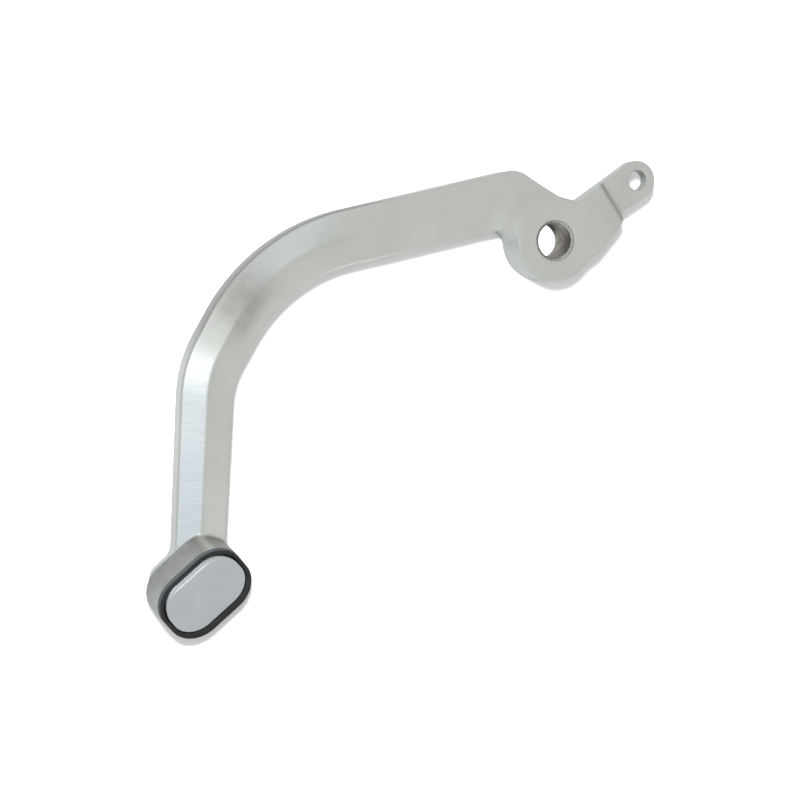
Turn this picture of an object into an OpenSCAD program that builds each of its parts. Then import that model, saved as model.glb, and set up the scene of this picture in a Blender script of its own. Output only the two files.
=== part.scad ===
// Rear brake pedal of a motorbike: a forged lever with a bushed pivot boss, a thin
// ear for the push rod, a ridged arm with one wide bend, and a tilted foot pad.
// Origin on the pivot axis at the back face, +Z along the pivot to the outer side.

/* [Pivot boss] */
// Running bore of the pivot bush
bush_bore_d = 15; // [12:0.5:17]
// Wall of the pivot bush
bush_wall = 1; // [0.5:0.25:1.5]
// Depth of the bush below the outer face of the boss
bush_inset = 0.6; // [0.2:0.1:2]
// Chamfer at both mouths of the boss
boss_chamfer = 0.5; // [0.2:0.1:1]
// Outer diameter of the boss
boss_d = 34.4; // [30:0.2:38]
// Length of the boss along the pivot
boss_len = 20; // [18:0.5:26]
// Radius of the raised face round the bore, on the arm's side
skirt_r = 19.4; // [18:0.1:21]
// Width of the sloping skirt between that face and the arm's face
skirt_w = 6; // [3:0.5:9]

/* [Arm] */
// Thickness of the arm at its ridge
arm_t = 14.5; // [12:0.5:16]
// Width of the arm beside the boss
arm_w_boss = 23.7; // [20:0.1:26]
// Width of the arm beside the pad
arm_w_pad = 21.4; // [18:0.1:24]
// Fall of the face from the ridge to the outer edge
outer_fall = 3.4; // [1:0.2:5]
// Fall of the face from the ridge to the inner edge
inner_fall = 1.2; // [0.4:0.2:4]
// Rounding of the long edges
edge_r = 1; // [0.5:0.1:1.5]
// Distance from the pivot axis to the centreline of the upper run
arm_offset = 21.25; // [18:0.05:22]
// Slope of the upper run
arm_slope = 13; // [8:0.2:16]
// Length of the upper run, from its point nearest the pivot to the bend
upper_run = 86.5; // [70:0.5:110]
// Radius of the bend at the centreline
bend_r = 75.8; // [60:0.2:95]
// Turn of the bend
bend_turn = 47.2; // [35:0.2:55]
// Straight between the bend and the tighter knee below it
mid_run = 10.8; // [4:0.2:20]
// Radius of the knee at the centreline
knee_r = 45.8; // [35:0.2:60]
// Turn of the knee
knee_turn = 26.6; // [20:0.2:35]
// Length of the lower run, from the knee to the pad
lower_run = 61.8; // [50:0.2:80]

/* [Push rod ear] */
// Diameter of the push rod hole
ear_hole_d = 8.5; // [6:0.5:10]
// Distance from the pivot to the push rod hole
ear_reach = 46.4; // [44:0.2:56]
// Direction of the ear, measured from +X
ear_angle = 34.2; // [28:0.2:38]
// Thickness of the ear
ear_t = 6.5; // [4:0.5:8]
// Height of the back of the ear over the back of the boss
ear_back = 11.5; // [8:0.5:12]
// Radius of the ear's round end
ear_r = 8.3; // [7:0.1:10]
// Distance from the pivot to the step where the ear begins
ear_step = 31; // [27:0.5:33]

/* [Foot pad] */
// Length of the pad
pad_l = 40.1; // [38:0.1:50]
// Width of the pad
pad_w = 33.9; // [32:0.1:42]
// Corner radius of the pad
pad_r = 13.4; // [12:0.1:15]
// Direction of the pad's long side, measured from +X
pad_azimuth = 40; // [30:1:50]
// Tilt of the pad face away from the plane of the lever
pad_tilt = 25; // [15:1:32]
// Depth of the pad housing below its rim
housing_h = 12; // [11:0.2:14]
// Wall of the housing round its pocket
housing_wall = 1; // [0.8:0.1:1.6]
// Depth of the housing pocket
pocket_h = 6.5; // [5.5:0.1:8]
// Height of the rubber lip on the rim
lip_h = 1.6; // [1:0.1:2.5]
// Wall of the rubber tray at the ends of the plate
tray_wall = 0.6; // [0.5:0.1:1.5]
// Wall of the rubber tray along the plate's long sides
tray_side = 2; // [1:0.1:3]
// Thickness of the rubber under the plate
tray_base = 2.5; // [1.5:0.1:3.5]
// Depth of the plate's face below the top of the lip
plate_drop = 0.8; // [0.5:0.1:2.5]
// Rounding of the plate's edge
plate_round = 2; // [1:0.1:2.8]

/* [Pad fixing] */
// Diameter of the stud on the plate
stud_d = 6; // [5:0.5:8]
// Width of the nut across its flats
nut_af = 10; // [8:0.5:13]
// Height of the nut
nut_h = 5; // [4:0.5:6]
// Diameter of the washer
washer_d = 12; // [10:0.5:14]
// Thickness of the washer
washer_t = 1.2; // [0.8:0.1:1.6]

/* [Clearances] */
// Gap round the plate, the stud and the nut thread
fit_gap = 0.15; // [0.1:0.05:0.3]

/* [Hidden] */

// A cut runs this far past the face that it opens
cut = 1;
// Height of a side over the one that it runs along
proud = 0.05;
// Facets on a full turn of an exact round
round_fn = 96;
// Facets on a full turn inside a hull
hull_fn = 32;

boss_r = boss_d / 2;
bush_d = bush_bore_d + 2 * bush_wall;

// Path of the arm: upper run, bend, middle run, knee, lower run
near_point = arm_offset * outward(arm_slope);
bend_start = near_point + upper_run * onward(arm_slope);
bend_centre = bend_start - bend_r * outward(arm_slope);
mid_a = arm_slope + bend_turn;
mid_start = upper_run + bend_r * bend_turn * PI / 180;
mid_point = bend_centre + bend_r * outward(mid_a);
knee_start = mid_start + mid_run;
knee_centre = mid_point + mid_run * onward(mid_a) - knee_r * outward(mid_a);
lower_a = mid_a + knee_turn;
lower_start = knee_start + knee_r * knee_turn * PI / 180;
lower_point = knee_centre + knee_r * outward(lower_a);
path_len = lower_start + lower_run;
// Lengths before and after the start of the bend between which the ridge grows
ridge_lead = 30;
ridge_lag = 22;
ridge_start = upper_run - ridge_lead;
ridge_end = upper_run + ridge_lag;
// Start of the swept arm, inside the skirt round the boss
sweep_start = 14;

// Rings along each stretch of the arm
straight_rings = 8;
bend_rings = 16;
knee_rings = 9;

// The lever's back lies at z = 0 and the housing's lowest edge is set on the same plane
pad_z = housing_h * cos(pad_tilt) + (pad_w / 2) * sin(pad_tilt);
lower_dir = onward(lower_a);
// Distance from the end of the arm to the middle of the pad rim, along the lower run
pad_ahead = 17.15;
// Side step of the pad from the line of the arm
pad_side = 1.5;
// How much more the plate is set in at its long sides than at its ends
plate_narrow = tray_side - tray_wall;
pad_centre = path_point(path_len) + pad_ahead * lower_dir - pad_side * outward(lower_a);

// Rounded end of the arm above the boss: radius, fall towards the ear, place along the arm
shoulder_r = 12;
shoulder_fall = 34.5;
shoulder_s = 7.8;
// Length along the arm that the boss's side shares with it
shoulder_back = 20;
// Direction from the pivot to the valley between the arm's end and the ear
valley_a = 87;
// Concave round between the arm's inner edge and the boss
inner_fillet_r = 6;
// Half width of the ear at its root, length of the ramp at its step, and length of the valley
ear_half = 9;
ramp_l = 2;
valley_l = 6.5;
// The root is wider below the ear than above it
root_above = 0.8;
root_below = 1.4;

// Foot under the housing: half length and back edge in the pad's directions, and its rounds
foot_x = 15.5;
foot_y = 13.2;
foot_front = 9;
foot_r = 8;
// The core that fills up to the housing stays this far inside the foot and the housing
core_inset = 1.2;

stud_end = housing_h - 0.5;
nut_seat = pocket_h + 2.2;
counterbore_d = washer_d + 1.5;

// Directions at a heading: along the arm away from the boss, and to its outer side
function onward(a) = [-cos(a), -sin(a)];
function outward(a) = [-sin(a), cos(a)];

function share(from, to, s) = min(1, max(0, (s - from) / (to - from)));

function heading(s) =
    arm_slope + bend_turn * share(upper_run, mid_start, s) + knee_turn * share(knee_start, lower_start, s);

function path_point(s) =
    s < upper_run ? near_point + s * onward(arm_slope)
    : s < mid_start ? bend_centre + bend_r * outward(heading(s))
    : s < knee_start ? mid_point + (s - mid_start) * onward(mid_a)
    : s < lower_start ? knee_centre + knee_r * outward(heading(s))
    : lower_point + (s - lower_start) * onward(lower_a);

function smooth(a, b, x) =
    let (u = share(a, b, x))
    u * u * (3 - 2 * u);

function arm_width(s) =
    arm_w_boss + (arm_w_pad - arm_w_boss) * share(upper_run, path_len, s);

// Corner of the section, rounded between two directions of its outward normal
function corner(t, z, r, a0, a1, n = 4) =
    [for (i = [0 : n]) let (a = a0 + (a1 - a0) * i / n) [t + r * cos(a), z + r * sin(a)]];

// Section of the arm: flat back, square sides, and a face that falls from a ridge
function arm_section(s) =
    let (
        half = arm_width(s) / 2,
        grown = smooth(ridge_start, ridge_end, s),
        outer_z = arm_t - outer_fall * grown,
        inner_z = arm_t - inner_fall * grown,
        outer_a = atan(outer_fall * grown / half),
        inner_a = atan(inner_fall * grown / half)
    )
    concat(
        corner(half - edge_r, edge_r, edge_r, -90, 0),
        corner(half - edge_r, outer_z - edge_r, edge_r, 0, 90 - outer_a),
        [[0, arm_t]],
        corner(-half + edge_r, inner_z - edge_r, edge_r, 90 + inner_a, 180),
        corner(-half + edge_r, edge_r, edge_r, 180, 270)
    );

function stations() = concat(
    [for (i = [0 : straight_rings]) sweep_start + (upper_run - sweep_start) * i / straight_rings],
    [for (i = [1 : bend_rings]) upper_run + (mid_start - upper_run) * i / bend_rings],
    [for (i = [0 : knee_rings]) knee_start + (lower_start - knee_start) * i / knee_rings],
    [for (i = [1 : 2]) lower_start + lower_run * i / 2]
);

function place(s, p) =
    let (c = path_point(s) + p[0] * outward(heading(s)))
    [c.x, c.y, p[1]];

module arm_sweep(rings) {
    sections = [for (s = rings) [for (p = arm_section(s)) place(s, p)]];
    count = len(sections[0]);
    last = len(sections) - 1;
    points = [for (ring = sections) each ring];
    sides = [
        for (k = [0 : last - 1], i = [0 : count - 1])
            let (j = (i + 1) % count)
            each [
                [k * count + i, k * count + j, (k + 1) * count + j],
                [k * count + i, (k + 1) * count + j, (k + 1) * count + i]
            ]
    ];
    start_cap = [[for (i = [count - 1 : -1 : 0]) i]];
    end_cap = [[for (i = [0 : count - 1]) last * count + i]];
    polyhedron(points = points, faces = concat(start_cap, sides, end_cap), convexity = 6);
}

// Points of an arc from angle a0 to a1
function arc(centre, r, a0, a1, n = 8) =
    [for (i = [0 : n]) let (a = a0 + (a1 - a0) * i / n) centre + r * [cos(a), sin(a)]];

// Outer side of the arm carried on towards the boss, rounded over and down to the valley
// before the ear. It stands a hair proud of the swept arm, so that the two never share a side.
module shoulder_outline() {
    half = arm_w_boss / 2 + proud;
    across = outward(arm_slope);
    run_dir = onward(arm_slope);
    turn = arm_slope + shoulder_fall;
    tangent = shoulder_r * tan(turn / 2);
    corner = near_point + shoulder_s * run_dir + half * across;
    centre = corner + tangent * run_dir - shoulder_r * across;
    valley = skirt_r * [cos(valley_a), sin(valley_a)];
    polygon(concat(
        [path_point(2 * shoulder_back), path_point(shoulder_back) + half * across],
        arc(centre, shoulder_r, 90 + arm_slope, 90 - shoulder_fall),
        [valley, [valley.x + ear_half, 0], [0, 0]],
        [path_point(shoulder_back) - half * across]
    ));
}

// Concave round between the arm's inner edge and the boss
module inner_fillet() {
    half = arm_w_boss / 2 + proud;
    across = outward(arm_slope);
    run_dir = onward(arm_slope);
    r = inner_fillet_r;
    // Distance of the fillet's centre from the pivot, across and along the arm
    off = arm_offset - half - r;
    along = sqrt(pow(boss_r + r, 2) - pow(off, 2));
    centre = off * across + along * run_dir;
    foot_a = 90 + arm_slope;
    boss_a = atan2(-centre.y, -centre.x);
    polygon(concat(
        arc(centre, r, foot_a, boss_a),
        [[0, 0], path_point(sweep_start + 2)]
    ));
}

module bore(d, z0, z1) {
    translate([0, 0, z0]) cylinder(h = z1 - z0, d = d, $fn = round_fn);
}

// Point in plan, x and y along the pad's directions from under the middle of the housing
function pad_point(x, y) =
    let (back = y + housing_h * sin(pad_tilt))
    pad_centre + x * [cos(pad_azimuth), sin(pad_azimuth)] + back * [-sin(pad_azimuth), cos(pad_azimuth)];

// Pad frame: origin in the middle of the housing rim, z along the pad's normal
module at_pad() {
    translate([pad_centre.x, pad_centre.y, pad_z]) rotate([0, 0, pad_azimuth]) rotate([pad_tilt, 0, 0])
        children();
}

// Rounded rectangle of the pad, drawn inward by inset and by narrow more at its long sides
module pad_outline(inset, fn = round_fn, narrow = 0) {
    r = pad_r - inset;
    x = pad_l / 2 - pad_r;
    y = pad_w / 2 - pad_r - narrow;
    square([2 * x, 2 * (y + r)], center = true);
    square([2 * (x + r), 2 * y], center = true);
    for (i = [-1, 1], j = [-1, 1]) translate([i * x, j * y]) circle(r = r, $fn = fn);
}

module pad_slab(inset, z0, z1, fn = round_fn, narrow = 0) {
    translate([0, 0, z0]) linear_extrude(z1 - z0) pad_outline(inset, fn, narrow);
}

module lever() {
    color([0.75, 0.76, 0.75])
        difference() {
            union() {
                arm_sweep(stations());
                linear_extrude(arm_t) {
                    shoulder_outline();
                    inner_fillet();
                }
                cylinder(h = boss_len, r = boss_r, $fn = round_fn);
                skirt();
                ear();
                linear_extrude(arm_t - outer_fall) foot_outline();
                foot_core();
                at_pad() pad_slab(0, -housing_h, 0);
            }
            boss_bore();
            rotate(ear_angle) translate([ear_reach, 0, 0]) bore(ear_hole_d, -cut, boss_len + cut);
            at_pad() pad_cuts();
        }
}

// Slope from the raised face round the bore down to the arm's face
module skirt() {
    intersection() {
        translate([0, 0, arm_t - 1])
            cylinder(h = boss_len - arm_t + 1, r1 = skirt_r + skirt_w, r2 = skirt_r, $fn = round_fn);
        linear_extrude(boss_len) shoulder_outline();
    }
}

module boss_bore() {
    bore(bush_d, -cut, boss_len + cut);
    mouth = bush_d + 2 * (boss_chamfer + cut);
    for (m = [0, 1])
        translate([0, 0, m * boss_len]) mirror([0, 0, m]) translate([0, 0, -cut])
            cylinder(h = boss_chamfer + cut, d1 = mouth, d2 = bush_d, $fn = round_fn);
}

// Pocket, stud hole and counterbore of the pad housing
module pad_cuts() {
    pad_slab(housing_wall, -pocket_h, cut);
    translate([0, 0, -housing_h])
        cylinder(h = housing_h, d = stud_d + 4 * fit_gap, $fn = round_fn);
    translate([0, 0, -3 * housing_h])
        cylinder(h = 3 * housing_h - nut_seat, d = counterbore_d, $fn = round_fn);
}

// Plan of the ear and its root, along its own direction
module ear_outline() {
    // The outline starts a little inside the raised face, so that no two corners fall together
    start_r = skirt_r - 0.2;
    start_a = valley_a + 2 - ear_angle;
    valley_s = start_r * cos(start_a);
    valley_t = start_r * sin(start_a);
    translate([ear_reach, 0]) circle(r = ear_r, $fn = round_fn);
    polygon([
        [0, 0], [valley_s, valley_t],
        [valley_s + valley_l, ear_half - root_above], [ear_step, ear_half - root_above],
        [ear_reach, ear_r], [ear_reach, -ear_r],
        [ear_step + root_below, root_below - ear_half], [ear_step + root_below / 2, -ear_half - root_below],
        [ear_step - 2.5 * root_below, -boss_r * 0.71], [ear_step - 7 * root_below, 2.4 * root_below - boss_r],
        [boss_r * 0.82, root_below - boss_r], [boss_r * 0.41, root_below - boss_r]
    ]);
}

// Side of the ear: the root is flush with the boss, a short ramp falls to the ear's face
module ear_profile() {
    face = ear_back + ear_t;
    end = ear_reach + ear_r + cut;
    polygon([
        [1, ear_back], [1, boss_len], [ear_step - ramp_l / 2, boss_len],
        [ear_step + ramp_l / 2, face], [end, face], [end, ear_back]
    ]);
}

module ear() {
    rotate(ear_angle) intersection() {
        linear_extrude(boss_len + cut) ear_outline();
        translate([0, boss_d, 0]) rotate([90, 0, 0]) linear_extrude(2 * boss_d) ear_profile();
    }
}

// Plan of the foot: the arm's outer side turns out under the housing in a concave round
module foot_outline() {
    side = -outward(lower_a);
    end = path_point(path_len);
    half = arm_w_pad / 2 - proud;
    pad_x = [cos(pad_azimuth), sin(pad_azimuth)];
    // Centre of the concave round, touching the arm's side and the foot's back edge
    level = pad_point(0, foot_y + foot_r);
    shift = -(half + foot_r + (level - end) * side) / (pad_x * side);
    polygon(concat(
        [end - 2 * foot_r * lower_dir],
        arc(level + shift * pad_x, foot_r, atan2(side.y, side.x), pad_azimuth - 90),
        arc(pad_point(foot_r - foot_x, foot_y - foot_r), foot_r, pad_azimuth + 90, pad_azimuth + 180),
        arc(pad_point(foot_r - foot_x, foot_r - foot_front), foot_r,
            pad_azimuth + 180, pad_azimuth + 270),
        [pad_point(foot_x - 2, -foot_front), end + half * side]
    ));
}

// Body that fills from the foot up to the underside of the housing
module foot_core() {
    r = foot_r - core_inset;
    x = foot_x - foot_r;
    hull() {
        for (p = [[-x, foot_y - foot_r], [-x, foot_r - foot_front], [x, foot_r - foot_front]])
            translate(pad_point(p.x, p.y)) cylinder(h = arm_t - outer_fall - 1, r = r, $fn = hull_fn);
        at_pad() pad_slab(core_inset, -housing_h - cut / 10, -housing_h + 1, hull_fn);
    }
}

module pivot_bush() {
    color([0.62, 0.52, 0.38])
        difference() {
            bore(bush_d, 0, boss_len - bush_inset);
            bore(bush_bore_d, -cut, boss_len);
        }
}

module pad_rubber() {
    color([0.12, 0.12, 0.12])
        at_pad() difference() {
            union() {
                pad_slab(0, 0, lip_h);
                pad_slab(housing_wall, -pocket_h, 0);
            }
            pad_slab(housing_wall + tray_wall, tray_base - pocket_h, lip_h + cut, narrow = plate_narrow);
            translate([0, 0, -pocket_h - cut])
                cylinder(h = pocket_h, d = stud_d + 2 * fit_gap, $fn = round_fn);
        }
}

// Crowned metal plate with its fixing stud
module pad_plate() {
    inset = housing_wall + tray_wall + fit_gap;
    top = lip_h - plate_drop;
    steps = 4;
    color([0.72, 0.74, 0.76])
        at_pad() {
            hull() {
                pad_slab(inset, tray_base - pocket_h, top - plate_round, hull_fn, plate_narrow);
                for (i = [1 : steps])
                    let (a = 90 * i / steps)
                    pad_slab(inset + plate_round * (1 - cos(a)), tray_base - pocket_h,
                             top - plate_round * (1 - sin(a)), hull_fn, plate_narrow);
            }
            translate([0, 0, -stud_end])
                cylinder(h = stud_end + tray_base - pocket_h + 0.5, d = stud_d, $fn = round_fn);
        }
}

module pad_washer() {
    color([0.7, 0.7, 0.7])
        at_pad() translate([0, 0, -nut_seat - washer_t]) difference() {
            cylinder(h = washer_t, d = washer_d, $fn = round_fn);
            translate([0, 0, -cut]) cylinder(h = washer_t + 2 * cut, d = stud_d + 2 * fit_gap, $fn = round_fn);
        }
}

module pad_nut() {
    color([0.66, 0.66, 0.64])
        at_pad() translate([0, 0, -nut_seat - washer_t - nut_h]) difference() {
            cylinder(h = nut_h, d = nut_af / cos(30), $fn = 6);
            translate([0, 0, -cut]) cylinder(h = nut_h + 2 * cut, d = stud_d + 2 * fit_gap, $fn = round_fn);
        }
}

lever();
pivot_bush();
pad_rubber();
pad_plate();
pad_washer();
pad_nut();
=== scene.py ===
import math

import bmesh
import bpy
import numpy as np
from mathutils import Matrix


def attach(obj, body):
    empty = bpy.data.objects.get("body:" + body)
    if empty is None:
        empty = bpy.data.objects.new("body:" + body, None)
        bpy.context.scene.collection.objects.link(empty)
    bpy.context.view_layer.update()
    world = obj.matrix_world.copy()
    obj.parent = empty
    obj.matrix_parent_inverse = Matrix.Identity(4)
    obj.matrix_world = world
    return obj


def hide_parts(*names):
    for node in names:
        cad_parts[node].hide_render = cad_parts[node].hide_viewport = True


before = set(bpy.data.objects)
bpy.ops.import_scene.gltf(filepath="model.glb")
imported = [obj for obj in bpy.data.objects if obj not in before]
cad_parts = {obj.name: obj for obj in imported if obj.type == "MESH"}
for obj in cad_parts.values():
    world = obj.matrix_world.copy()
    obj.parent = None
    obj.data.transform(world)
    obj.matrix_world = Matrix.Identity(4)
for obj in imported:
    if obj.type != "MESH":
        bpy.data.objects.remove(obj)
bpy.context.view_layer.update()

import openvdb
from mathutils import Matrix, Vector

MM = 0.001

# Sizes in millimetres, as in the part's source
BUSH_BORE, BUSH_WALL, BUSH_INSET = 15.0, 1.0, 0.6
BOSS_R, BOSS_LEN, MOUTH_CHAMFER = 17.2, 20.0, 0.5
SKIRT_R, SKIRT_W = 19.4, 6.0
ARM_T, ARM_W_BOSS, ARM_W_PAD = 14.5, 23.7, 21.4
OUTER_FALL, INNER_FALL = 3.4, 1.2
ARM_OFFSET, ARM_SLOPE = 21.25, math.radians(13)
UPPER_RUN, BEND_R, BEND_TURN = 86.5, 75.8, math.radians(47.2)
MID_RUN, KNEE_R, KNEE_TURN, LOWER_RUN = 10.8, 45.8, math.radians(26.6), 61.8
SWEEP_START, RIDGE_START, RIDGE_END = 14.0, UPPER_RUN - 30, UPPER_RUN + 22
EAR_HOLE_R, EAR_REACH, EAR_ANGLE = 4.25, 46.4, math.radians(34.2)
EAR_T, EAR_BACK, EAR_R, EAR_STEP, EAR_HALF, RAMP_L = 6.5, 11.5, 8.3, 31.0, 9.0, 2.0
SHOULDER_R, SHOULDER_FALL, SHOULDER_S = 12.0, math.radians(34.5), 7.8
SHOULDER_BACK, VALLEY_L, ROOT_ABOVE, ROOT_BELOW = 20.0, 6.5, 0.8, 1.4
VALLEY_A, INNER_FILLET_R = math.radians(87), 6.0
PAD_L, PAD_W, PAD_R = 40.1, 33.9, 13.4
PAD_AZIMUTH, PAD_TILT = math.radians(40), math.radians(25)
HOUSING_H, HOUSING_WALL, POCKET_H = 12.0, 1.0, 6.5
LIP_H, TRAY_WALL, TRAY_SIDE, TRAY_BASE = 1.6, 0.6, 2.0, 2.5
PLATE_DROP, FIT_GAP = 0.8, 0.15
NARROW = TRAY_SIDE - TRAY_WALL
STUD_D, NUT_AF, NUT_H, WASHER_D, WASHER_T = 6.0, 10.0, 5.0, 12.0, 1.2
NUT_SEAT = POCKET_H + 2.2
COUNTERBORE_R = (WASHER_D + 1.5) / 2
STUD_END = HOUSING_H - 0.5
PAD_AHEAD, PAD_SIDE = 17.15, 1.5
FOOT_X, FOOT_Y, FOOT_FRONT, FOOT_R, CORE_INSET = 15.5, 13.2, 9.0, 8.0, 1.2
# Rounding of the long edges, of the ridge and of the smaller edges
EDGE_R, RIDGE_ROUND, SEAM_R = 1.0, 0.4, 0.6
SKIRT_ROUND, SKIRT_FILLET, CORE_FILLET = 3.0, 5.0, 4.0
BACK_EDGE, HEAD_EDGE, CUP_EDGE, SMALL_EDGE = 0.8, 0.7, 0.6, 0.5
STEP_FILLET, EAR_FILLET, HOLE_CHAMFER = 1.2, 0.8, 0.35
# The plate's face is shown with a tighter edge than in the part, broader along its upper side
FACE_ROUND, CROWN = 0.6, 3.0
# Points on each corner and each straight side of the pad's rings
CORNER_STEPS, SIDE_STEPS = 40, 16
# A piece's grid lies within this box; FAR stands for a point off the arm
BOX_LOW, BOX_HIGH = (-182, -168, -4), (62, 42, 32)
FAR = 50.0
# Edges steeper than this many degrees stay crisp in shading
CRISP = 40


def direction(angle):
    return np.array([math.cos(angle), math.sin(angle)])


def onward(a):
    """Along the arm away from the boss, at heading a."""
    return np.array([-math.cos(a), -math.sin(a)])


def outward(a):
    """To the outer side of the arm, at heading a."""
    return np.array([-math.sin(a), math.cos(a)])


# Path of the arm, as in the part's source: upper run, bend, middle run, knee, lower run
NEAR_POINT = ARM_OFFSET * outward(ARM_SLOPE)
BEND_CENTRE = NEAR_POINT + UPPER_RUN * onward(ARM_SLOPE) - BEND_R * outward(ARM_SLOPE)
MID_A = ARM_SLOPE + BEND_TURN
MID_START = UPPER_RUN + BEND_R * BEND_TURN
MID_POINT = BEND_CENTRE + BEND_R * outward(MID_A)
KNEE_START = MID_START + MID_RUN
KNEE_CENTRE = MID_POINT + MID_RUN * onward(MID_A) - KNEE_R * outward(MID_A)
LOWER_A = MID_A + KNEE_TURN
LOWER_START = KNEE_START + KNEE_R * KNEE_TURN
LOWER_POINT = KNEE_CENTRE + KNEE_R * outward(LOWER_A)
PATH_LEN = LOWER_START + LOWER_RUN
PATH_END = LOWER_POINT + LOWER_RUN * onward(LOWER_A)
PAD_X = direction(PAD_AZIMUTH)
PAD_Y = np.array([-PAD_X[1], PAD_X[0]])
PAD_CENTRE = PATH_END + PAD_AHEAD * onward(LOWER_A) - PAD_SIDE * outward(LOWER_A)
PAD_Z = HOUSING_H * math.cos(PAD_TILT) + PAD_W / 2 * math.sin(PAD_TILT)


def path_point(s):
    """Point of the arm's centreline on the upper run."""
    return NEAR_POINT + s * onward(ARM_SLOPE)


def pad_point(x, y):
    return PAD_CENTRE + x * PAD_X + (y + HOUSING_H * math.sin(PAD_TILT)) * PAD_Y


def arc(centre, r, a0, a1, n=14):
    return [centre + r * direction(a0 + (a1 - a0) * i / n) for i in range(n + 1)]


# Distance fields of the lever, in millimetres: negative inside

def smooth_step(a, b, x):
    """0 at a, 1 at b, smooth between them."""
    u = np.clip((x - a) / (b - a), 0, 1)
    return u * u * (3 - 2 * u)


def bell(x, middle, width):
    """1 at the middle, falling off to both sides."""
    return np.exp(-((x - middle) / width) ** 2)


def meet(a, b, r):
    """Intersection whose outer edge is rounded to radius r."""
    u, v = np.maximum(a + r, 0), np.maximum(b + r, 0)
    return np.minimum(-r, np.maximum(a, b)) + np.sqrt(u * u + v * v)


def join(a, b, r):
    """Union whose inner corner is filled to radius r."""
    u, v = np.maximum(r - a, 0), np.maximum(r - b, 0)
    return np.maximum(r, np.minimum(a, b)) - np.sqrt(u * u + v * v)


def polygon(p, corners):
    """Signed distance to a polygon in plan."""
    corners = np.asarray(corners, float)
    best = np.full(len(p), 1e9)
    inside = np.zeros(len(p), bool)
    for a, b in zip(corners, np.roll(corners, -1, axis=0)):
        edge = b - a
        w = p - a
        h = np.clip(w @ edge / max(edge @ edge, 1e-12), 0, 1)
        d = w - h[:, None] * edge
        best = np.minimum(best, np.einsum("ij,ij->i", d, d))
        crosses = (a[1] > p[:, 1]) != (b[1] > p[:, 1])
        if a[1] != b[1]:
            x = a[0] + (p[:, 1] - a[1]) / (b[1] - a[1]) * edge[0]
            inside ^= crosses & (p[:, 0] < x)
    return np.where(inside, -1, 1) * np.sqrt(best)


def arm_position(p):
    """Length along the path and offset to its outer side, for each point in plan."""
    q = p[:, :2]
    s = np.full(len(q), -FAR)
    t = np.full(len(q), FAR)
    straights = (
        (NEAR_POINT, ARM_SLOPE, 0, -1e9, UPPER_RUN),
        (MID_POINT, MID_A, MID_START, MID_START, KNEE_START),
        (LOWER_POINT, LOWER_A, LOWER_START, LOWER_START, 1e9),
    )
    for origin, a, start, low, high in straights:
        along = start + (q - origin) @ onward(a)
        off = (q - origin) @ outward(a)
        take = (along >= low) & (along <= high) & (np.abs(off) < np.abs(t))
        s, t = np.where(take, along, s), np.where(take, off, t)
    bends = (
        (BEND_CENTRE, BEND_R, UPPER_RUN, ARM_SLOPE, MID_A),
        (KNEE_CENTRE, KNEE_R, KNEE_START, MID_A, LOWER_A),
    )
    for centre, r, start, low, high in bends:
        spoke = q - centre
        a = np.arctan2(-spoke[:, 0], spoke[:, 1])
        off = np.hypot(spoke[:, 0], spoke[:, 1]) - r
        take = (a >= low) & (a <= high) & (np.abs(off) < np.abs(t))
        s, t = np.where(take, start + (a - low) * r, s), np.where(take, off, t)
    return s, t


def arm_top(s, t, z):
    """Height over the arm's face: two planes that fall from a ridge, flat beyond the edges."""
    half = half_width(s)
    grown = smooth_step(RIDGE_START, RIDGE_END, s)
    slope_out, slope_in = OUTER_FALL * grown / half, INNER_FALL * grown / half
    outer = (z - ARM_T + slope_out * np.minimum(t, half)) / np.sqrt(1 + slope_out**2)
    inner = (z - ARM_T - slope_in * np.maximum(t, -half)) / np.sqrt(1 + slope_in**2)
    return meet(outer, inner, RIDGE_ROUND) - RIDGE_ROUND * (math.sqrt(2) - 1) * (1 - grown)


def half_width(s):
    taper = np.clip((s - UPPER_RUN) / (PATH_LEN - UPPER_RUN), 0, 1)
    return (ARM_W_BOSS + (ARM_W_PAD - ARM_W_BOSS) * taper) / 2


def shoulder_corners():
    half = ARM_W_BOSS / 2
    turn = ARM_SLOPE + SHOULDER_FALL
    tangent = SHOULDER_R * math.tan(turn / 2)
    corner = NEAR_POINT + SHOULDER_S * onward(ARM_SLOPE) + half * outward(ARM_SLOPE)
    centre = corner + tangent * onward(ARM_SLOPE) - SHOULDER_R * outward(ARM_SLOPE)
    valley = SKIRT_R * direction(VALLEY_A)
    start = path_point(SHOULDER_BACK)
    return (
        [path_point(2 * SHOULDER_BACK), start + half * outward(ARM_SLOPE)]
        + arc(centre, SHOULDER_R, math.pi / 2 + ARM_SLOPE, math.pi / 2 - SHOULDER_FALL)
        + [valley, np.array([valley[0] + EAR_HALF, 0]), np.zeros(2), start - half * outward(ARM_SLOPE)]
    )


def fillet_corners():
    half = ARM_W_BOSS / 2
    off = ARM_OFFSET - half - INNER_FILLET_R
    along = math.sqrt((BOSS_R + INNER_FILLET_R) ** 2 - off**2)
    centre = off * outward(ARM_SLOPE) + along * onward(ARM_SLOPE)
    a1 = math.atan2(-centre[1], -centre[0])
    return arc(centre, INNER_FILLET_R, math.pi / 2 + ARM_SLOPE, a1) + [
        np.zeros(2),
        path_point(SWEEP_START + 2),
    ]


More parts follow.
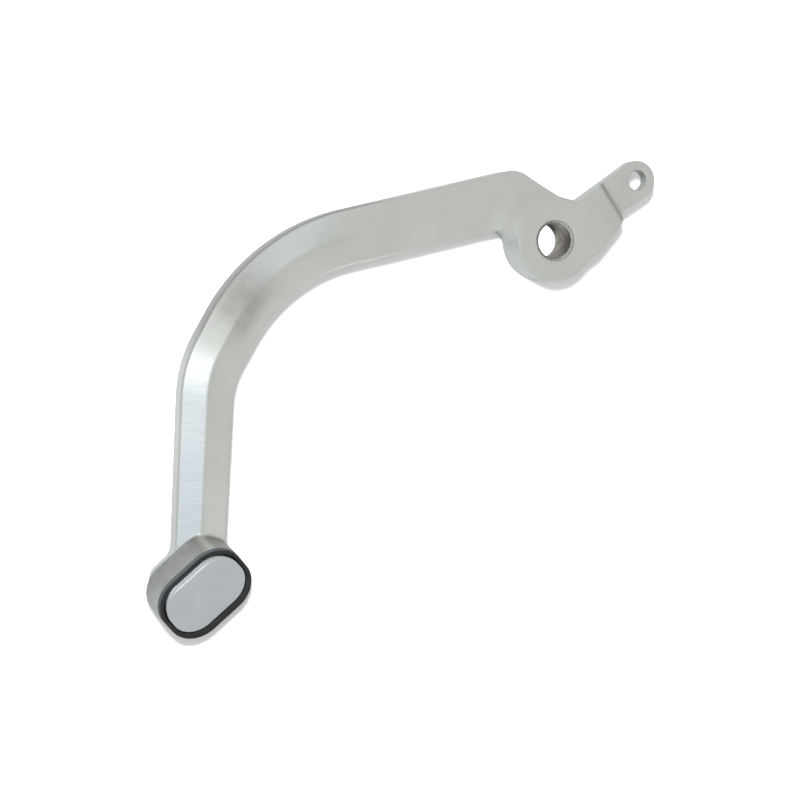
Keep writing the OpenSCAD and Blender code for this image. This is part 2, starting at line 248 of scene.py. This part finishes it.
def ear_corners():
    start = (SKIRT_R - 0.2) * direction(VALLEY_A + math.radians(2) - EAR_ANGLE)
    return [
        (0, 0),
        start,
        (start[0] + VALLEY_L, EAR_HALF - ROOT_ABOVE),
        (EAR_STEP, EAR_HALF - ROOT_ABOVE),
        (EAR_REACH, EAR_R),
        (EAR_REACH, -EAR_R),
        (EAR_STEP + ROOT_BELOW, ROOT_BELOW - EAR_HALF),
        (EAR_STEP + ROOT_BELOW / 2, -EAR_HALF - ROOT_BELOW),
        (EAR_STEP - 2.5 * ROOT_BELOW, -BOSS_R * 0.71),
        (EAR_STEP - 7 * ROOT_BELOW, 2.4 * ROOT_BELOW - BOSS_R),
        (BOSS_R * 0.82, ROOT_BELOW - BOSS_R),
        (BOSS_R * 0.41, ROOT_BELOW - BOSS_R),
    ]


def ear_position(p):
    c, s = math.cos(EAR_ANGLE), math.sin(EAR_ANGLE)
    return np.stack([p[:, 0] * c + p[:, 1] * s, p[:, 1] * c - p[:, 0] * s], axis=1)


def head(p, radius):
    """Boss with the ear, whose root is flush with the boss's face."""
    z = p[:, 2]
    q = ear_position(p)
    plan = polygon(q, EAR_OUTLINE)
    plan = np.minimum(plan, np.hypot(q[:, 0] - EAR_REACH, q[:, 1]) - EAR_R)
    plan = join(plan, radius - BOSS_R, EAR_FILLET)
    drop = BOSS_LEN - EAR_BACK - EAR_T
    ramp = math.atan2(drop, RAMP_L)
    on_ramp = (q[:, 0] - EAR_STEP) * math.sin(ramp) + (z - BOSS_LEN + drop / 2) * math.cos(ramp)
    face = z - EAR_BACK - EAR_T
    top = meet(z - BOSS_LEN, join(on_ramp, face, STEP_FILLET), HEAD_EDGE)
    upper = meet(meet(plan, top, EDGE_R), EAR_BACK - z, SMALL_EDGE)
    boss = meet(radius - BOSS_R, z - BOSS_LEN, EDGE_R)
    return np.minimum(boss, upper)


def foot_corners():
    half = ARM_W_PAD / 2
    level = pad_point(0, FOOT_Y + FOOT_R)
    side = -outward(LOWER_A)
    shift = -(half + FOOT_R + (level - PATH_END) @ side) / (PAD_X @ side)
    a = PAD_AZIMUTH
    side_a = math.atan2(side[1], side[0])
    x = FOOT_R - FOOT_X
    return (
        [PATH_END - 2 * FOOT_R * onward(LOWER_A)]
        + arc(level + shift * PAD_X, FOOT_R, side_a, a - math.pi / 2)
        + arc(pad_point(x, FOOT_Y - FOOT_R), FOOT_R, a + math.pi / 2, a + math.pi)
        + arc(pad_point(x, FOOT_R - FOOT_FRONT), FOOT_R, a + math.pi, a + 1.5 * math.pi)
        + [pad_point(FOOT_X - 2, -FOOT_FRONT), PATH_END + half * side]
    )


EAR_OUTLINE = ear_corners()
ARM_OUTLINES = (shoulder_corners(), fillet_corners(), foot_corners())


def foot_box(plan):
    """Distance in plan to the rounded rectangle of the foot under the cup."""
    x = (plan - PAD_CENTRE) @ PAD_X
    y = (plan - PAD_CENTRE) @ PAD_Y - HOUSING_H * math.sin(PAD_TILT) - (FOOT_Y - FOOT_FRONT) / 2
    dx = np.abs(x) - FOOT_X + FOOT_R
    dy = np.abs(y) - (FOOT_Y + FOOT_FRONT) / 2 + FOOT_R
    return np.hypot(np.maximum(dx, 0), np.maximum(dy, 0)) + np.minimum(np.maximum(dx, dy), 0) - FOOT_R


# Pad frame: x along the pad, y across it, z out of its face
PAD_AXES = np.array([
    [PAD_X[0], PAD_X[1], 0],
    [PAD_Y[0] * math.cos(PAD_TILT), PAD_Y[1] * math.cos(PAD_TILT), math.sin(PAD_TILT)],
    [-PAD_Y[0] * math.sin(PAD_TILT), -PAD_Y[1] * math.sin(PAD_TILT), math.cos(PAD_TILT)],
])
PAD_ORIGIN = np.array([PAD_CENTRE[0], PAD_CENTRE[1], PAD_Z])


def to_pad(p):
    return (p - PAD_ORIGIN) @ PAD_AXES.T


def from_pad(q):
    return q @ PAD_AXES + PAD_ORIGIN


def rounded_rect(q, inset):
    dx = np.abs(q[:, 0]) - (PAD_L / 2 - PAD_R)
    dy = np.abs(q[:, 1]) - (PAD_W / 2 - PAD_R)
    out = np.hypot(np.maximum(dx, 0), np.maximum(dy, 0))
    return out + np.minimum(np.maximum(dx, dy), 0) - (PAD_R - inset)


def lever(p):
    z = p[:, 2]
    plan = p[:, :2]
    radius = np.hypot(p[:, 0], p[:, 1])
    s, t = arm_position(p)
    outline = np.maximum(np.abs(t) - half_width(s), np.maximum(SWEEP_START - s, s - PATH_LEN))
    for corners in ARM_OUTLINES:
        outline = np.minimum(outline, polygon(plan, corners))
    slope = SKIRT_W / (BOSS_LEN - ARM_T + 1)
    cone = (radius - SKIRT_R - (BOSS_LEN - z) * slope) / math.hypot(1, slope)
    top = join(arm_top(s, t, z), meet(cone, z - BOSS_LEN, SKIRT_ROUND), SKIRT_FILLET)
    body = np.minimum(meet(outline, top, EDGE_R), head(p, radius))
    q = to_pad(p)
    cup = meet(meet(rounded_rect(q, 0), -HOUSING_H - q[:, 2], CUP_EDGE), q[:, 2], SMALL_EDGE)
    core = meet(foot_box(plan) + CORE_INSET, q[:, 2] + HOUSING_H - 1, SMALL_EDGE)
    body = join(body, join(core, cup, CORE_FILLET), SEAM_R)
    body = meet(body, -z, BACK_EDGE)
    # Holes and pocket, each with its edge broken
    bore = radius - (BUSH_BORE / 2 + BUSH_WALL)
    mouth = np.minimum(z, BOSS_LEN - z)
    bore = np.minimum(bore, (bore - MOUTH_CHAMFER + mouth) / math.sqrt(2))
    body = np.maximum(body, -bore)
    c = EAR_REACH * direction(EAR_ANGLE)
    hole = np.hypot(p[:, 0] - c[0], p[:, 1] - c[1]) - EAR_HOLE_R
    mouth = np.minimum(z - EAR_BACK, EAR_BACK + EAR_T - z)
    hole = np.minimum(hole, (hole - HOLE_CHAMFER + mouth) / math.sqrt(2))
    body = np.maximum(body, -hole)
    pocket = np.maximum(rounded_rect(q, HOUSING_WALL), -POCKET_H - q[:, 2])
    axis_r = np.hypot(q[:, 0], q[:, 1])
    stud_hole = axis_r - STUD_D / 2 - 2 * FIT_GAP
    counterbore = np.maximum(axis_r - COUNTERBORE_R, q[:, 2] + NUT_SEAT)
    below = np.maximum(stud_hole, q[:, 2] + POCKET_H - 0.5)
    cut = np.minimum(np.minimum(pocket, below), counterbore)
    return np.maximum(body, -cut)


def field_mesh(name, field, low, high, step, block=8):
    """Closed mesh of a distance field: blocks near the surface are sampled finely."""
    low, high = np.array(low), np.array(high)
    size = np.ceil((high - low) / (step * block)).astype(int)
    grid = np.full(tuple(size * block), 3 * step, np.float32)
    span = step * block
    centres = np.stack(np.meshgrid(*[np.arange(n) for n in size], indexing="ij"), -1)
    centres = centres.reshape(-1, 3)
    middle = low + (centres + 0.5) * span - step / 2
    d = field(middle)
    # Half a block's diagonal, with a margin for fields that aren't true distances
    reach = span * math.sqrt(3) / 2 * 1.15 + 1.5
    offsets = np.stack(np.meshgrid(*[np.arange(block)] * 3, indexing="ij"), -1).reshape(-1, 3)
    view = grid.reshape(size[0], block, size[1], block, size[2], block)
    for c in centres[d < -reach]:
        view[c[0], :, c[1], :, c[2], :] = -3 * step
    near = centres[np.abs(d) <= reach]
    batch = 600
    for start in range(0, len(near), batch):
        part = near[start:start + batch]
        index = part[:, None, :] * block + offsets[None]
        value = field(low + index.reshape(-1, 3) * step).reshape(len(part), block, block, block)
        value = np.clip(value, -3 * step, 3 * step)
        for c, v in zip(part, value):
            view[c[0], :, c[1], :, c[2], :] = v
    volume = openvdb.FloatGrid(3 * step)
    volume.copyFromArray(grid, tolerance=0)
    points, _, quads = volume.convertToPolygons(isovalue=0.0)
    points = low + np.asarray(points, float) * step
    # Each point is drawn onto the exact surface
    probe = 0.02
    for _ in range(3):
        d = field(points)
        grad = np.stack([field(points + probe * a) - field(points - probe * a) for a in np.eye(3)], 1)
        grad /= np.maximum(np.linalg.norm(grad, axis=1, keepdims=True), 1e-6)
        points = points - grad * np.clip(d, -step / 2, step / 2)[:, None]
    mesh = bpy.data.meshes.new(name)
    mesh.from_pydata((points * MM).tolist(), [], np.asarray(quads)[:, ::-1].tolist())
    mesh.update()
    return mesh


def add(name, mesh, material, node, crisp_angle=None):
    """Visible piece on the one body, for a node of the part."""
    bm = bmesh.new()
    bm.from_mesh(mesh)
    bmesh.ops.recalc_face_normals(bm, faces=bm.faces)
    bm.to_mesh(mesh)
    bm.free()
    mesh.polygons.foreach_set("use_smooth", [True] * len(mesh.polygons))
    if crisp_angle:
        mesh.set_sharp_from_angle(angle=math.radians(crisp_angle))
    obj = bpy.data.objects.new(name, mesh)
    bpy.context.scene.collection.objects.link(obj)
    mesh.materials.append(material)
    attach(obj, "root")
    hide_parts(node)


def loft(name, rings, closed=True):
    """Mesh of rings of equally many points, joined in order, in millimetres."""
    n = len(rings[0])
    points = np.concatenate(rings)
    count = len(rings)
    faces = []
    for k in range(count if closed else count - 1):
        a, b = k * n, (k + 1) % count * n
        faces += [(a + i, a + (i + 1) % n, b + (i + 1) % n, b + i) for i in range(n)]
    if not closed:
        faces.append(tuple(range(n - 1, -1, -1)))
        faces.append(tuple((count - 1) * n + i for i in range(n)))
    mesh = bpy.data.meshes.new(name)
    mesh.from_pydata((points * MM).tolist(), [], faces)
    mesh.validate()
    mesh.update()
    return mesh


# Materials

class Nodes:
    """Short calls for building one material's node tree."""

    def __init__(self, name, metallic=0.0):
        self.material = bpy.data.materials.new(name)
        self.material.use_nodes = True
        self.tree = self.material.node_tree
        self.shader = self.tree.nodes["Principled BSDF"]
        self.shader.inputs["Metallic"].default_value = metallic

    def put(self, kind, inputs=(), **settings):
        node = self.tree.nodes.new(kind)
        for key, value in settings.items():
            setattr(node, key, value)
        for key, value in dict(inputs).items():
            if isinstance(value, bpy.types.NodeSocket):
                self.tree.links.new(value, node.inputs[key])
            else:
                node.inputs[key].default_value = value
        return node

    def link(self, source, key):
        self.tree.links.new(source, self.shader.inputs[key])

    def coords(self, scale=(1, 1, 1), rotation=(0, 0, 0)):
        tex = self.put("ShaderNodeTexCoord").outputs["Object"]
        return self.put("ShaderNodeMapping", {0: tex, 2: rotation, 3: scale}).outputs[0]

    def noise(self, vector, scale, detail=3.0, rough=0.5):
        node = self.put("ShaderNodeTexNoise", {0: vector, "Scale": scale, "Detail": detail,
                                               "Roughness": rough})
        return node.outputs[0]

    def band(self, value, low, high, to_low, to_high):
        node = self.put("ShaderNodeMapRange", {0: value, 1: low, 2: high, 3: to_low, 4: to_high})
        return node.outputs[0]

    def mix(self, factor, a, b):
        node = self.put("ShaderNodeMix", data_type="RGBA")
        for index, value in ((0, factor), (6, a), (7, b)):
            if isinstance(value, bpy.types.NodeSocket):
                self.tree.links.new(value, node.inputs[index])
            else:
                node.inputs[index].default_value = value
        return node.outputs[2]

    def two_tone(self, value, low, high, a, b):
        """Colour a where the value is at low, colour b where it is at high."""
        return self.mix(self.band(value, low, high, 0, 1), a, b)

    def blend(self, factor, a, b):
        return self.put("ShaderNodeMix", {0: factor, 2: a, 3: b}).outputs[0]

    def combine(self, operation, a, b):
        return self.put("ShaderNodeMath", {0: a, 1: b}, operation=operation).outputs[0]

    def attribute(self, name):
        return self.put("ShaderNodeAttribute", attribute_name=name).outputs["Fac"]

    def bump(self, height, strength, distance):
        node = self.put("ShaderNodeBump", {"Height": height, "Strength": strength,
                                           "Distance": distance})
        self.link(node.outputs[0], "Normal")


def lever_material():
    m = Nodes("forged_aluminium", metallic=1.0)
    cloud = m.noise(m.coords(), 45, 4)
    fine = m.noise(m.coords(), 1400, 3)
    colour = m.two_tone(cloud, 0.3, 0.7, (0.83, 0.845, 0.805, 1), (0.895, 0.90, 0.86, 1))
    # Painted shade: a darker patch in the bend, and the bend's darker outer side
    bend_shade = m.band(m.noise(m.coords(), 75, 3), 0.35, 0.6, 0.45, 1)
    bend_shade = m.combine("MULTIPLY", m.attribute("painted_bend_shade"), bend_shade)
    colour = m.mix(bend_shade, colour, (0.56, 0.57, 0.54, 1))
    colour = m.mix(m.attribute("painted_side_shade"), colour, (0.50, 0.50, 0.47, 1))
    # Brush lines run across the outer face of the lower run
    brushed = m.attribute("brushed")
    lines = m.noise(m.coords(scale=(50, 2600, 400), rotation=(0, 0, 0.06)), 1, 2)
    scratch = m.combine("MULTIPLY", brushed, m.band(lines, 0.35, 0.65, 0, 0.22))
    colour = m.mix(scratch, colour, (0.45, 0.50, 0.55, 1))
    # The cup's darker cast skin, partly painted shade, and painted shade at the foot of the ear's step
    skin_and_shade = m.attribute("cast_skin_and_shade")
    mottle = m.noise(m.coords(), 260, 4)
    skin = m.two_tone(mottle, 0.35, 0.65, (0.45, 0.455, 0.44, 1), (0.52, 0.525, 0.51, 1))
    m.link(m.mix(skin_and_shade, colour, skin), "Base Color")
    rough = m.band(lines, 0.3, 0.7, 0.285, 0.34)
    rough = m.blend(brushed, m.band(fine, 0.3, 0.7, 0.285, 0.31), rough)
    rough = m.blend(m.attribute("matt"), rough, 0.52)
    m.link(m.blend(skin_and_shade, rough, 0.5), "Roughness")
    m.bump(m.blend(brushed, fine, lines), 0.1, 0.00006)
    return m.material


def bush_material():
    m = Nodes("bronze_bush", metallic=1.0)
    turning = m.noise(m.coords(scale=(1, 1, 90)), 60, 3)
    patch = m.noise(m.coords(), 260, 4)
    colour = m.two_tone(patch, 0.35, 0.65, (0.38, 0.35, 0.28, 1), (0.64, 0.60, 0.51, 1))
    # The mouth is turned bright, and painted near white as a painted highlight for its glint
    height = m.put("ShaderNodeSeparateXYZ", {0: m.coords()}).outputs["Z"]
    top = (BOSS_LEN - BUSH_INSET) * MM
    mouth_glint = m.band(height, top - 0.0012, top - 0.0010, 0, 1)
    chatter = m.band(m.noise(m.coords(), 900, 3), 0.42, 0.58, 0.35, 1)
    mouth_glint = m.combine("MULTIPLY", mouth_glint, chatter)
    m.link(m.mix(mouth_glint, colour, (0.86, 0.86, 0.84, 1)), "Base Color")
    m.link(m.band(turning, 0.3, 0.7, 0.29, 0.42), "Roughness")
    m.bump(m.noise(m.coords(), 700, 3), 0.25, 0.00008)
    return m.material


def rubber_material():
    m = Nodes("pad_rubber")
    grain = m.noise(m.coords(), 1800, 3)
    dust = m.noise(m.coords(), 90, 4)
    colour = m.two_tone(dust, 0.4, 0.75, (0.011, 0.0115, 0.0125, 1), (0.019, 0.0195, 0.021, 1))
    # Painted light: a lighter grey on the lip's upper outer side
    m.link(m.mix(m.attribute("painted_lit_lip"), colour, (0.062, 0.068, 0.074, 1)), "Base Color")
    m.shader.inputs["Specular IOR Level"].default_value = 0.35
    m.link(m.band(grain, 0.3, 0.7, 0.42, 0.6), "Roughness")
    m.bump(grain, 0.25, 0.00005)
    return m.material


def plate_material():
    m = Nodes("pad_plate", metallic=1.0)
    grain = m.noise(m.coords(), 1500, 3)
    cloud = m.noise(m.coords(), 60, 3)
    colour = m.two_tone(cloud, 0.3, 0.7, (0.77, 0.81, 0.85, 1), (0.83, 0.87, 0.90, 1))
    m.link(colour, "Base Color")
    m.link(m.band(grain, 0.3, 0.7, 0.285, 0.31), "Roughness")
    return m.material


def zinc_material():
    m = Nodes("zinc_steel", metallic=1.0)
    cloud = m.noise(m.coords(), 300, 4)
    colour = m.two_tone(cloud, 0.3, 0.7, (0.5, 0.5, 0.48, 1), (0.64, 0.64, 0.6, 1))
    m.link(colour, "Base Color")
    m.link(m.band(cloud, 0.3, 0.7, 0.28, 0.42), "Roughness")
    m.bump(cloud, 0.1, 0.00003)
    return m.material


# Pieces

def finishes_and_shades(p):
    """Shares of the lever's finishes and painted shade at each point, by the name that its material
    reads.
    """
    s, t = arm_position(p)
    z = p[:, 2]
    q, e = to_pad(p), ear_position(p)
    # Cast skin on the cup's wall, partly painted shade: darker towards its foot, lighter at one end and
    # lighter in a painted highlight streak
    cup = 1 - smooth_step(0.1, 0.4, rounded_rect(q, 0))
    cup *= smooth_step(-HOUSING_H - 0.3, -HOUSING_H + 0.1, q[:, 2])
    turn = np.degrees(np.arctan2(q[:, 1] - PAD_W / 2 + PAD_R, q[:, 0] - PAD_L / 2 + PAD_R))
    highlight_streak = 0.95 * bell(turn, 59, 8)
    depth = smooth_step(0, HOUSING_H, -q[:, 2])
    end = 0.3 * smooth_step(-8, -20, q[:, 0])
    cup *= 0.85 + 0.3 * depth - highlight_streak - end
    # Painted shade at the foot of the ear's step, as dark as the cup's skin
    step = bell(e[:, 0], EAR_STEP, 1.2) * (z > EAR_BACK + EAR_T - 0.4)
    step *= (z < BOSS_LEN - 0.02) & (np.abs(e[:, 1]) < EAR_HALF + ROOT_BELOW)
    # Brushed: the outer face from the knee on. Matt: near the boss. Shaded: painted shade on the bend's
    # outer side
    brushed = smooth_step(0, 1.5, t) * smooth_step(0.5, 1.5, half_width(s) - t)
    shaded = smooth_step(55, 85, s) * smooth_step(175, 150, s)
    return {
        "cast_skin_and_shade": np.maximum(cup, 0.8 * step),
        "brushed": brushed * smooth_step(KNEE_START + 6, LOWER_START, s),
        # Painted shade: a darker patch in the bend
        "painted_bend_shade": bell(s, 140, 13) * smooth_step(11, 5, np.abs(t - 2)),
        "matt": smooth_step(85, 45, s),
        "painted_side_shade": shaded * smooth_step(-1.0, -0.4, t - half_width(s)),
    }


def make_lever():
    step = 0.62
    mesh = field_mesh("lever_body", lever, BOX_LOW, BOX_HIGH, step)
    points = np.empty(len(mesh.vertices) * 3)
    mesh.vertices.foreach_get("co", points)
    for key, value in finishes_and_shades(points.reshape(-1, 3) / MM).items():
        mesh.attributes.new(key, "FLOAT", "POINT").data.foreach_set("value", value)
    add("lever_body", mesh, lever_material(), "lever")


def lathe(name, profile, n=128):
    """Closed ring of a profile of (radius, height) turned about the pivot axis."""
    a = np.linspace(0, 2 * math.pi, n, endpoint=False)
    rings = [np.stack([r * np.cos(a), r * np.sin(a), np.full(n, z)], 1) for r, z in profile]
    return loft(name, rings)


def corner_arc(centre, r, a0, a1, n=5):
    return [(centre[0] + r * math.cos(math.radians(a0 + (a1 - a0) * i / n)),
             centre[1] + r * math.sin(math.radians(a0 + (a1 - a0) * i / n))) for i in range(n + 1)]


def make_bush():
    inner, outer, top = BUSH_BORE / 2, BUSH_BORE / 2 + BUSH_WALL, BOSS_LEN - BUSH_INSET
    c, mouth, steps = 0.3, 1.0, 10
    profile = [(outer, c), (outer, top - 0.1), (outer - 0.1, top), (inner + mouth, top)]
    profile += [(inner, top - mouth - (top - mouth - c) * i / steps) for i in range(steps)]
    profile += corner_arc((inner + c, c), c, 180, 270) + corner_arc((outer - c, c), c, 270, 360)
    add("bush_ring", lathe("bush_ring", profile), bush_material(), "pivot_bush", CRISP)


def pad_line(inset, narrow=0.0):
    """Points of the pad's outline in the pad frame's plane: the same places for every inset."""
    x, y, r = PAD_L / 2 - PAD_R, PAD_W / 2 - PAD_R - narrow, PAD_R - inset
    corners = []
    for cx, cy, start in ((x, y, 0), (-x, y, 90), (-x, -y, 180), (x, -y, 270)):
        t = np.radians(start + np.linspace(0, 90, CORNER_STEPS + 1))
        corners.append(np.stack([cx + r * np.cos(t), cy + r * np.sin(t)], 1))
    line = []
    share = np.linspace(0, 1, SIDE_STEPS + 1)[1:-1, None]
    for k in range(4):
        end, start = corners[k][-1], corners[(k + 1) % 4][0]
        line += [corners[k], end + (start - end) * share]
    return np.concatenate(line)


def pad_ring(inset, z, circle=0.0, narrow=0.0):
    """Ring of the pad's outline, narrower by narrow at each side, or a circle of radius circle."""
    q = pad_line(inset, narrow)
    if circle:
        q = circle * q / np.hypot(q[:, 0], q[:, 1])[:, None]
    return from_pad(np.column_stack([q, np.full(len(q), z)]))


def crown_ring(inset, top, a):
    """Ring at angle a of the plate's rounded edge, which is broader along its upper side."""
    q = pad_line(inset + FACE_ROUND * (1 - math.cos(a)), NARROW)
    upper = smooth_step(-4, 9, q[:, 1])
    q[:, 1] -= CROWN * upper * (1 - math.cos(a))
    z = top - (FACE_ROUND + CROWN * upper) * (1 - math.sin(a))
    return from_pad(np.column_stack([q, z]))


def make_rubber():
    wall = HOUSING_WALL + TRAY_WALL
    base = TRAY_BASE - POCKET_H
    rings = [pad_ring(0, -POCKET_H, STUD_D / 2 + FIT_GAP), pad_ring(HOUSING_WALL, -POCKET_H)]
    rings += [pad_ring(HOUSING_WALL, -0.02), pad_ring(0.5, -0.02), pad_ring(0.1, 0.02), pad_ring(0, 0.2)]
    # The lip is rounded to lip_r outside and to in_r inside
    lip_r, in_r = 0.7, 0.5
    turns = [math.radians(90 * i / 8) for i in range(9)]
    rings += [pad_ring(lip_r * (1 - math.cos(a)), LIP_H - lip_r * (1 - math.sin(a))) for a in turns]
    for a in turns:
        rings.append(pad_ring(wall - in_r * (1 - math.sin(a)), LIP_H - 2 * in_r * (1 - math.cos(a)),
                              narrow=NARROW * (1 - 0.6 * (1 - math.sin(a)))))
    rings += [pad_ring(wall, z, narrow=NARROW) for z in (-0.5, base)]
    rings += [pad_ring(0, base, STUD_D / 2 + FIT_GAP)]
    mesh = loft("rubber_tray", rings)
    points = np.empty(len(mesh.vertices) * 3)
    mesh.vertices.foreach_get("co", points)
    q = to_pad(points.reshape(-1, 3) / MM)
    # Painted light: the lip's outer side is lighter grey along its upper side only
    painted_lit_lip = smooth_step(-0.6, -0.15, rounded_rect(q, 0)) * smooth_step(0, 10, q[:, 1])
    mesh.attributes.new("painted_lit_lip", "FLOAT", "POINT").data.foreach_set("value", painted_lit_lip)
    add("rubber_tray", mesh, rubber_material(), "pad_rubber", CRISP)


def make_plate():
    inset = HOUSING_WALL + TRAY_WALL + FIT_GAP
    base = TRAY_BASE - POCKET_H
    top = LIP_H - PLATE_DROP
    rings = [pad_ring(0, -STUD_END, STUD_D / 2 - 0.5), pad_ring(0, -STUD_END + 0.5, STUD_D / 2)]
    # Rolled thread on the free end of the stud
    pitch, thread_depth = 1.0, 0.45
    z = -STUD_END + 0.8
    while z < -NUT_SEAT - WASHER_T - NUT_H + 6.2:
        rings += [pad_ring(0, z, STUD_D / 2), pad_ring(0, z + pitch / 2, STUD_D / 2 - thread_depth)]
        z += pitch
    rings += [pad_ring(0, z + 0.2, STUD_D / 2), pad_ring(0, base, STUD_D / 2)]
    rings += [pad_ring(inset + 0.3, base, narrow=NARROW), pad_ring(inset, base + 0.3, narrow=NARROW)]
    steps = 14
    for i in range(steps + 1):
        a = math.radians(90 * i / steps)
        rings.append(crown_ring(inset, top, a))
    middle = crown_ring(inset, top, math.pi / 2)
    centre = middle.mean(axis=0)
    rings += [centre + (middle - centre) * share for share in (0.8, 0.6, 0.4, 0.2, 0.05)]
    mesh = loft("tread_plate", rings, closed=False)
    add("tread_plate", mesh, plate_material(), "pad_plate", CRISP)


def make_fasteners():
    zinc = zinc_material()
    top = -NUT_SEAT
    hole = STUD_D / 2 + FIT_GAP
    r = WASHER_D / 2
    low = top - WASHER_T
    c = 0.25
    profile = [(hole, low), (r - c, low), (r, low + c), (r, top - c), (r - c, top), (hole, top)]
    rings = [pad_ring(0, z, c) for c, z in profile]
    add("plain_washer", loft("plain_washer", rings), zinc, "pad_washer", CRISP)
    n = 96
    a = (np.arange(n) + 0.5) * 2 * math.pi / n
    hexagon = NUT_AF / 2 / np.cos((a % (math.pi / 3)) - math.pi / 6)
    start = NUT_AF / 2 * 0.96
    bottom = low - NUT_H

    def hex_ring(radius, z):
        return from_pad(np.column_stack([radius * np.cos(a), radius * np.sin(a), z]))

    flat = np.full(n, start)
    drop = np.maximum(hexagon - start, 0) * math.tan(math.radians(30))
    hole_ring = np.full(n, hole)
    rings = [
        hex_ring(hole_ring, np.full(n, bottom + 0.5)),
        hex_ring(hole_ring + 0.5, np.full(n, bottom)),
        hex_ring(flat, np.full(n, bottom)),
        hex_ring(hexagon, bottom + drop),
        hex_ring(hexagon, low - drop),
        hex_ring(flat, np.full(n, low)),
        hex_ring(hole_ring + 0.4, np.full(n, low)),
        hex_ring(hole_ring, np.full(n, low - 0.4)),
    ]
    add("hex_nut", loft("hex_nut", rings), zinc, "pad_nut", CRISP)


make_lever()
make_bush()
make_rubber()
make_plate()
make_fasteners()


# Camera at the photograph's angle, floor, backdrop and light

CAMERA_AT = (-0.2733, -0.0024, 0.6965)
LIT_POINT = (-0.08, -0.06, 0)
SURROUND = (0.55, 0.555, 0.545, 1)
PANEL_HEIGHT = 1.0


def make_camera():
    data = bpy.data.cameras.new("camera")
    data.sensor_width = 36.0
    data.lens = 76.5
    camera = bpy.data.objects.new("camera", data)
    right = Vector((0.9574, 0.0, 0.2887)).normalized()
    back = Vector((-0.2875, 0.0901, 0.9535)).normalized()
    up = back.cross(right).normalized()
    right = up.cross(back)
    turn = Matrix((right, up, back)).transposed().to_4x4()
    camera.matrix_world = Matrix.Translation(CAMERA_AT) @ turn
    bpy.context.scene.collection.objects.link(camera)
    bpy.context.scene.camera = camera


def make_floor():
    size, gap = 4.0, 0.0002
    mesh = bpy.data.meshes.new("floor")
    corners = [(-size, -size, 0), (size, -size, 0), (size, size, 0), (-size, size, 0)]
    mesh.from_pydata(corners, [], [(0, 1, 2, 3)])
    floor = bpy.data.objects.new("floor", mesh)
    floor.location.z = -gap
    bpy.context.scene.collection.objects.link(floor)
    m = Nodes("floor")
    # White to the camera, grey where metal mirrors it
    seen = m.put("ShaderNodeLightPath").outputs["Is Camera Ray"]
    m.link(m.mix(seen, (0.33, 0.34, 0.35, 1), (0.95, 0.95, 0.95, 1)), "Base Color")
    # Painted light: the floor glows white to the camera where it is seen through the bore, lifting the
    # shadow there, and far from the object
    away = m.put("ShaderNodeVectorMath", {0: m.coords()}, operation="LENGTH").outputs["Value"]
    glow = m.combine("ADD", m.band(away, 0.0075, 0.009, 1, 0), m.band(away, 0.4, 0.9, 0, 1))
    m.link(m.mix(glow, (0, 0, 0, 1), (1, 1, 1, 1)), "Emission Color")
    m.link(seen, "Emission Strength")
    m.shader.inputs["Roughness"].default_value = 1.0
    m.shader.inputs["Specular IOR Level"].default_value = 0.0
    mesh.materials.append(m.material)


def lamp(name, place, size, power):
    """Round source aimed at the object and out of the metal's sight."""
    data = bpy.data.lights.new(name, "AREA")
    data.shape, data.size, data.energy = "DISK", size, power
    source = bpy.data.objects.new(name, data)
    source.location = Vector(place)
    source.rotation_euler = (Vector(place) - Vector(LIT_POINT)).to_track_quat("Z", "Y").to_euler()
    source.visible_glossy = False
    bpy.context.scene.collection.objects.link(source)


def soft_box(name, x, y, radiance, colour=(1, 1, 1)):
    """Level panel over the object, from x[0] to x[1] and y[0] to y[1]."""
    data = bpy.data.lights.new(name, "AREA")
    data.shape = "RECTANGLE"
    data.size, data.size_y = x[1] - x[0], y[1] - y[0]
    data.energy = radiance * math.pi * data.size * data.size_y
    data.color = colour
    panel = bpy.data.objects.new(name, data)
    panel.location = Vector(((x[0] + x[1]) / 2, (y[0] + y[1]) / 2, PANEL_HEIGHT))
    bpy.context.scene.collection.objects.link(panel)


def make_world():
    world = bpy.data.worlds.new("world")
    bpy.context.scene.world = world
    world.use_nodes = True
    tree = world.node_tree
    shade = tree.nodes["Background"]
    # White to the camera, light grey for the lighting
    blend = tree.nodes.new("ShaderNodeMix")
    blend.data_type = "RGBA"
    blend.inputs[6].default_value = SURROUND
    blend.inputs[7].default_value = (1, 1, 1, 1)
    tree.links.new(tree.nodes.new("ShaderNodeLightPath").outputs["Is Camera Ray"], blend.inputs[0])
    tree.links.new(blend.outputs[2], shade.inputs["Color"])


make_camera()
make_floor()
make_world()
lamp("key", (-0.297, 0.172, 0.69), 0.12, 8.8)
lamp("fill", (-0.273, -0.01, 0.72), 0.2, 0.5)
# What the arm's outer face, its bend and the plate's edge mirror
soft_box("box_lower", (-0.82, -0.42), (-0.56, -0.04), 0.50, (0.52, 0.72, 1.0))
soft_box("box_knee", (-0.74, -0.44), (-0.04, 0.14), 2.3, (0.94, 0.98, 1.0))
soft_box("box_bend", (-0.27, -0.12), (0.43, 0.62), 0.95, (0.66, 0.84, 1.0))
soft_box("box_plate", (0.08, 0.36), (-0.74, -0.44), 1.2)
bpy.context.scene.view_settings.view_transform = "Standard"
